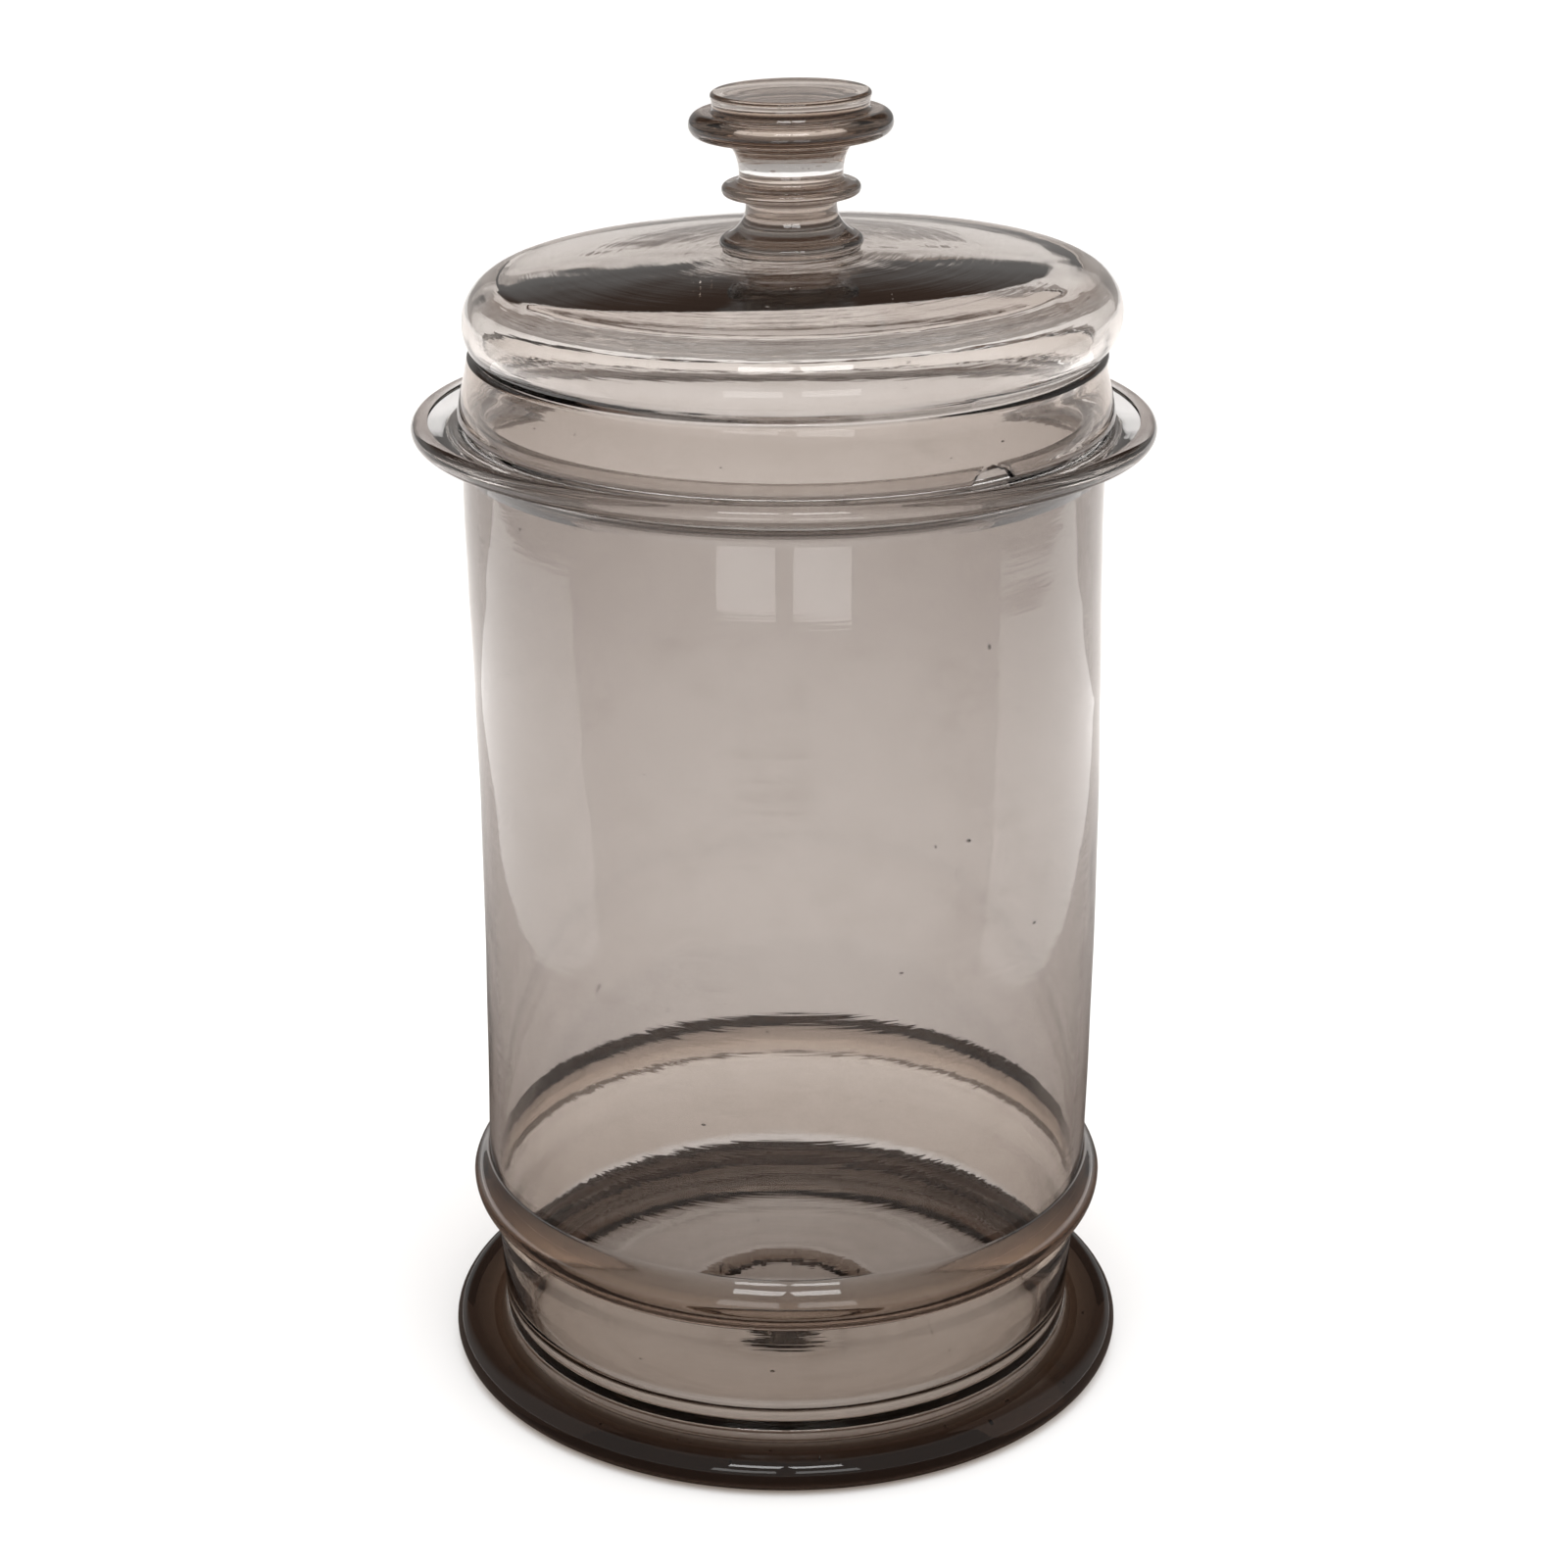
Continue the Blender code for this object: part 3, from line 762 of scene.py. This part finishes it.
def glass(name, absorb, density, edge_tint=None, rim=None, haze=0.05, stain=0.12, spin=0.05,
          grit=0.0, ripple=1.0):
    """Clear glass that absorbs with depth, and whose surface is left out for shadows and on fused faces.

    edge_tint darkens the colour towards the edge, partly the thick glass's own tone and partly painted
    shade; rim is painted shade for the grazing view: a colour, with where it starts and fills.
    """
    material = bpy.data.materials.new(name)
    material.use_nodes = True
    graph = Graph(material.node_tree)
    shader = material.node_tree.nodes["Principled BSDF"]
    output = material.node_tree.nodes["Material Output"]
    graph.feed(shader.inputs["IOR"], GLASS_IOR)
    graph.feed(shader.inputs["Transmission Weight"], 1.0)

    fields = blown_detail(graph, spin)
    cloudy = graph.ramp(fields["haze"], 0.54, 0.74)
    speckled = graph.math("MULTIPLY", graph.ramp(fields["grit"], 0.5, 0.75), grit)
    rough = graph.math("ADD", graph.math("MULTIPLY", cloudy, haze), speckled)
    graph.feed(shader.inputs["Roughness"], rough)

    stained = (1 - stain, 1 - 1.12 * stain, 1 - 1.25 * stain, 1.0)
    patches, streaks = graph.ramp(fields["haze"], 0.45, 0.8), graph.ramp(fields["rings"], 0.3, 0.7)
    colour = graph.mix(graph.math("MULTIPLY", patches, streaks), (1.0, 1.0, 1.0, 1.0), stained)
    # edge_tint: darker towards the edge, partly the glass's own tone and partly painted shade
    if edge_tint:
        edge = graph.add("Attribute", {"attribute_name": "edge"}).outputs["Fac"]
        colour = graph.mix(edge, colour, (*edge_tint, 1.0))
    # rim: painted shade, the colour darkened where the surface is seen at a grazing angle, standing in for
    # the dark surroundings that the sides of the glass show
    if rim:
        facing = graph.add("LayerWeight", None, Blend=0.5).outputs["Facing"]
        colour = graph.mix(graph.ramp(facing, rim[1], rim[2]), colour, (*rim[0], 1.0))
    graph.feed(shader.inputs["Base Color"], colour)

    fine = graph.add("Bump", None, Strength=1.0, Distance=RING_RELIEF * ripple, Height=fields["rings"])
    slow = graph.add("Bump", None, Strength=1.0, Distance=WAVE_RELIEF * ripple, Height=fields["waves"],
                     Normal=fine.outputs[0])
    graph.feed(shader.inputs["Normal"], slow.outputs[0])

    clear = graph.add("BsdfTransparent").outputs[0]
    fused = graph.add("Attribute", {"attribute_name": "fused"}).outputs["Fac"]
    shadow = graph.add("LightPath").outputs["Is Shadow Ray"]
    left_out = graph.math("MAXIMUM", shadow, fused)
    mix = graph.add("MixShader", None, _0=left_out, _1=shader.outputs[0], _2=clear)
    graph.feed(output.inputs["Surface"], mix.outputs[0])
    volume = graph.add("VolumeAbsorption", None, Color=(*absorb, 1.0), Density=density)
    graph.feed(output.inputs["Volume"], volume.outputs[0])
    return material


# What the glass lets through; the last of these is no absorption colour but painted shade, the dark that
# the glass's sides take on at grazing views
SMOKE = (0.24, 0.15, 0.09)
WARM = (0.38, 0.22, 0.09)
BROWN = (0.36, 0.18, 0.02)
PAINTED_GRAZING_SHADE = (0.15, 0.115, 0.10)

# Node, section, body, slot, absorption colour, absorption per metre, surface
pieces = (
    # the foot's near-black edge_tint is partly painted shade, the dark of the shaded floor seen through
    # the foot
    ("foot_ring", foot_section(), "jar", "foot_glass", BROWN, 105.0,
     {"edge_tint": (0.06, 0.045, 0.042), "haze": 0.03, "stain": 0.2}),
    ("jar_floor", floor_section(), "jar", "floor_glass", BROWN, 22.0,
     {"haze": 0.1, "stain": 0.16, "grit": 0.12}),
    ("base_wall", base_wall_section(), "jar", "wall_glass", BROWN, 120.0, {}),
    ("pontil_scar", pontil_section(), "jar", "foot_glass", BROWN, 260.0,
     {"edge_tint": (0.28, 0.22, 0.18), "haze": 0.5, "stain": 0.3, "grit": 0.5}),
    ("base_ring", ring_section(), "jar", "ring_glass", BROWN, 125.0,
     {"rim": (PAINTED_GRAZING_SHADE, 0.12, 0.5), "haze": 0.02}),
    ("body_cylinder", body_section(), "jar", "wall_glass", SMOKE, 180.0, {"spin": 0.02}),
    ("mouth_collar", collar_section(), "jar", "collar_glass", WARM, 8.0, {}),
    ("collar_bead", bead_section(), "jar", "ring_glass", WARM, 10.0,
     {"rim": (PAINTED_GRAZING_SHADE, 0.35, 0.8), "haze": 0.02}),
    ("lid_skirt", skirt_section(), "lid", "lid_glass", WARM, 125.0, {"haze": 0.08}),
    ("lid_dome", dome_section(), "lid", "lid_glass", WARM, 36.0,
     {"haze": 0.08, "stain": 0.16, "ripple": 2.2}),
    ("knob_pad", pad_section(), "lid", "knob_glass", WARM, 16.0, {"rim": (PAINTED_GRAZING_SHADE, 0.5, 0.95)}),
    ("knob_collar", knob_collar_section(), "lid", "knob_glass", WARM, 24.0,
     {"rim": (PAINTED_GRAZING_SHADE, 0.6, 1.0), "stain": 0.2}),
    ("knob_waist", knob_waist_section(), "lid", "knob_glass", WARM, 2.0,
     {"haze": 0.09, "stain": 0.2, "ripple": 2.0}),
    ("knob_ring", knob_ring_section(), "lid", "knob_glass", WARM, 48.0,
     {"rim": (PAINTED_GRAZING_SHADE, 0.35, 0.9), "haze": 0.09, "stain": 0.2}),
    ("knob_button", knob_button_section(), "lid", "knob_glass", WARM, 14.0,
     {"haze": 0.06, "stain": 0.15}),
)
WARPS = {"lid_dome": warp_dome, "lid_skirt": warp_skirt, "pontil_scar": warp_pontil}
for node, section, body, slot, tint, density, surface in pieces:
    steps = SKIRT_STEPS if node == "lid_skirt" else KNOB_STEPS if node.startswith("knob") else STEPS
    warp = WARPS.get(node, warp_jar if body == "jar" else warp_lid)
    piece = turned(node + "_glass", section, warp, steps)
    piece.data.materials.append(glass(node + "_look", tint, density, **surface))
    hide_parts(node)
    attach(piece, body)


# ---------------------------------------------------------------- studio

def stage_plane(name, size, location, rotation, colour, rough):
    mesh = bpy.data.meshes.new(name)
    shape = bmesh.new()
    bmesh.ops.create_grid(shape, x_segments=2, y_segments=2, size=0.5)
    shape.to_mesh(mesh)
    shape.free()
    plane = bpy.data.objects.new(name, mesh)
    bpy.context.scene.collection.objects.link(plane)
    plane.scale = (size[0], size[1], 1.0)
    plane.location = location
    plane.rotation_euler = rotation
    material = bpy.data.materials.new(name)
    material.use_nodes = True
    shader = material.node_tree.nodes["Principled BSDF"]
    shader.inputs["Base Color"].default_value = (*colour, 1.0)
    shader.inputs["Roughness"].default_value = rough
    shader.inputs["Specular IOR Level"].default_value = 0.2
    mesh.materials.append(material)
    return plane


def softbox(name, size, location, target, power, colour=(1.0, 1.0, 1.0)):
    light = bpy.data.lights.new(name, "AREA")
    light.shape = "RECTANGLE"
    light.size, light.size_y = size
    light.energy = power
    light.color = colour
    holder = bpy.data.objects.new(name, light)
    bpy.context.scene.collection.objects.link(holder)
    holder.location = location
    aim = Vector(target) - Vector(location)
    holder.rotation_euler = aim.to_track_quat("-Z", "Y").to_euler()
    holder.visible_camera = False
    return holder


stage_plane("studio_floor", (14.0, 14.0), (0, 0, 0), (0, 0, 0), (0.86, 0.86, 0.86), 0.6)

# A cloth that only reflections see, dark round the foot, so that the rims of the glass read dark
# against the pale floor; each stop is a distance in metres and a colour
CLOTH_STOPS = ((0.26, (0.10, 0.08, 0.07)), (0.75, (0.85, 0.82, 0.80)))
cloth = stage_plane("reflected_cloth", (6.0, 6.0), (0, 0, 0.0004), (0, 0, 0), (0.5, 0.5, 0.5), 0.8)
cloth.visible_camera = False
cloth.visible_diffuse = False
cloth.visible_transmission = False
cloth.visible_shadow = False
cloth_tree = cloth.data.materials[0].node_tree
cloth_place = cloth_tree.nodes.new("ShaderNodeTexCoord")
cloth_reach = cloth_tree.nodes.new("ShaderNodeVectorMath")
cloth_reach.operation = "LENGTH"
cloth_place.object = bpy.data.objects.new("cloth_centre", None)
cloth_ramp = cloth_tree.nodes.new("ShaderNodeValToRGB")
for element, (place_on, colour) in zip(cloth_ramp.color_ramp.elements, CLOTH_STOPS):
    element.position = place_on
    element.color = (*colour, 1.0)
cloth_tree.links.new(cloth_place.outputs["Object"], cloth_reach.inputs[0])
cloth_tree.links.new(cloth_reach.outputs["Value"], cloth_ramp.inputs["Fac"])
cloth_colour = cloth_tree.nodes["Principled BSDF"].inputs["Base Color"]
cloth_tree.links.new(cloth_ramp.outputs["Color"], cloth_colour)

key = softbox("key", (0.9, 0.6), (0.0, -0.5, 1.9), (0, 0, 0.2), 14.0)
key.visible_glossy = False
key.visible_transmission = False

# a faint glow on the floor under the jar, which its own glass shades
glow = softbox("glow", (0.2, 0.2), (0.0, 0.0, 0.0006), (0, 0, 1.0), 0.016)
glow.data.shape = "ELLIPSE"
glow.visible_glossy = False

for side in (-1, 1):
    for name, size, place_at, target, power in (
        ("window", (0.37, 0.30), (0.21, -1.04, 1.16), (0, 0, 0.2), 2.6),
        ("low_window", (0.20, 0.14), (0.13, -0.60, 0.20), (0, 0, 0.3), 0.2),
        ("side_card", (0.6, 0.8), (0.75, 0.20, 0.002), (0.75, 0.20, 1.0), 1.3),
    ):
        aim_at = (side * target[0], *target[1:])
        card = softbox(f"{name}_{side}", size, (side * place_at[0], *place_at[1:]), aim_at, power)
        card.visible_diffuse = False
        card.visible_transmission = False

sky = bpy.data.lights.new("sky", "SUN")
sky.angle = math.radians(120.0)
sky.energy = 3.0
sky_holder = bpy.data.objects.new("sky", sky)
bpy.context.scene.collection.objects.link(sky_holder)
sky_holder.rotation_euler = (math.radians(-12.0), math.radians(8.0), 0.0)
sky_holder.visible_glossy = False
sky_holder.visible_transmission = False

world = bpy.data.worlds.new("studio")
world.use_nodes = True
bpy.context.scene.world = world
tree = world.node_tree
background = tree.nodes["Background"]


def world_math(operation, *inputs):
    node = tree.nodes.new("ShaderNodeMath")
    node.operation = operation
    for slot, value in zip(node.inputs, inputs):
        if isinstance(value, float):
            slot.default_value = value
        else:
            tree.links.new(value, slot)
    return node.outputs[0]


place = tree.nodes.new("ShaderNodeTexCoord")
split = tree.nodes.new("ShaderNodeSeparateXYZ")
tree.links.new(place.outputs["Generated"], split.inputs[0])
# angle above the horizon behind the jar, from 0 there to 1 at the horizon in front
turn = world_math("DIVIDE", world_math("ARCTAN2", split.outputs["Z"], split.outputs["Y"]), math.pi)
SKY = (0.62, 0.59, 0.57, 1.0)
ramp = tree.nodes.new("ShaderNodeValToRGB")
stops = ramp.color_ramp.elements
stops[0].position = 0.0
stops[0].color = SKY
stops[1].position = 1.0
stops[1].color = (0.62, 0.60, 0.58, 1.0)
for place_on, colour in (
    (0.085, (0.55, 0.52, 0.50)),
    (0.12, (0.23, 0.15, 0.115)),
    (0.25, (0.19, 0.125, 0.095)),
    (0.32, (0.55, 0.52, 0.50)),
    (0.46, (0.60, 0.58, 0.56)),
):
    stops.new(place_on).color = (*colour, 1.0)
tree.links.new(turn, ramp.inputs["Fac"])
# the band behind fades out towards both sides
fade = tree.nodes.new("ShaderNodeMapRange")
fade.inputs["From Min"].default_value = 0.45
fade.inputs["From Max"].default_value = 0.8
tree.links.new(world_math("ABSOLUTE", split.outputs["X"]), fade.inputs["Value"])
blend = tree.nodes.new("ShaderNodeMix")
blend.data_type = "RGBA"
blend.inputs[7].default_value = SKY
tree.links.new(fade.outputs[0], blend.inputs[0])
tree.links.new(ramp.outputs["Color"], blend.inputs[6])
tree.links.new(blend.outputs[2], background.inputs["Color"])
background.inputs["Strength"].default_value = 0.7

CAMERA_PLACE = (0.0, -1.0791, 0.6227)
CAMERA_DOWN = 20.887  # degrees below the horizon
CAMERA_LENS = 76.34
CAMERA_SHIFT = -0.001875
camera_data = bpy.data.cameras.new("camera")
camera_data.sensor_width = 36.0
camera_data.lens = CAMERA_LENS
camera_data.shift_x = CAMERA_SHIFT
camera = bpy.data.objects.new("camera", camera_data)
bpy.context.scene.collection.objects.link(camera)
camera.location = CAMERA_PLACE
camera.rotation_euler = (math.radians(90.0 - CAMERA_DOWN), 0.0, 0.0)
bpy.context.scene.camera = camera
bpy.context.scene.view_settings.view_transform = "Standard"

# A ray crosses many walls of glass and the seams between them
paths = bpy.context.scene.cycles
paths.transparent_max_bounces = 32
paths.max_bounces = 24
paths.transmission_bounces = 24
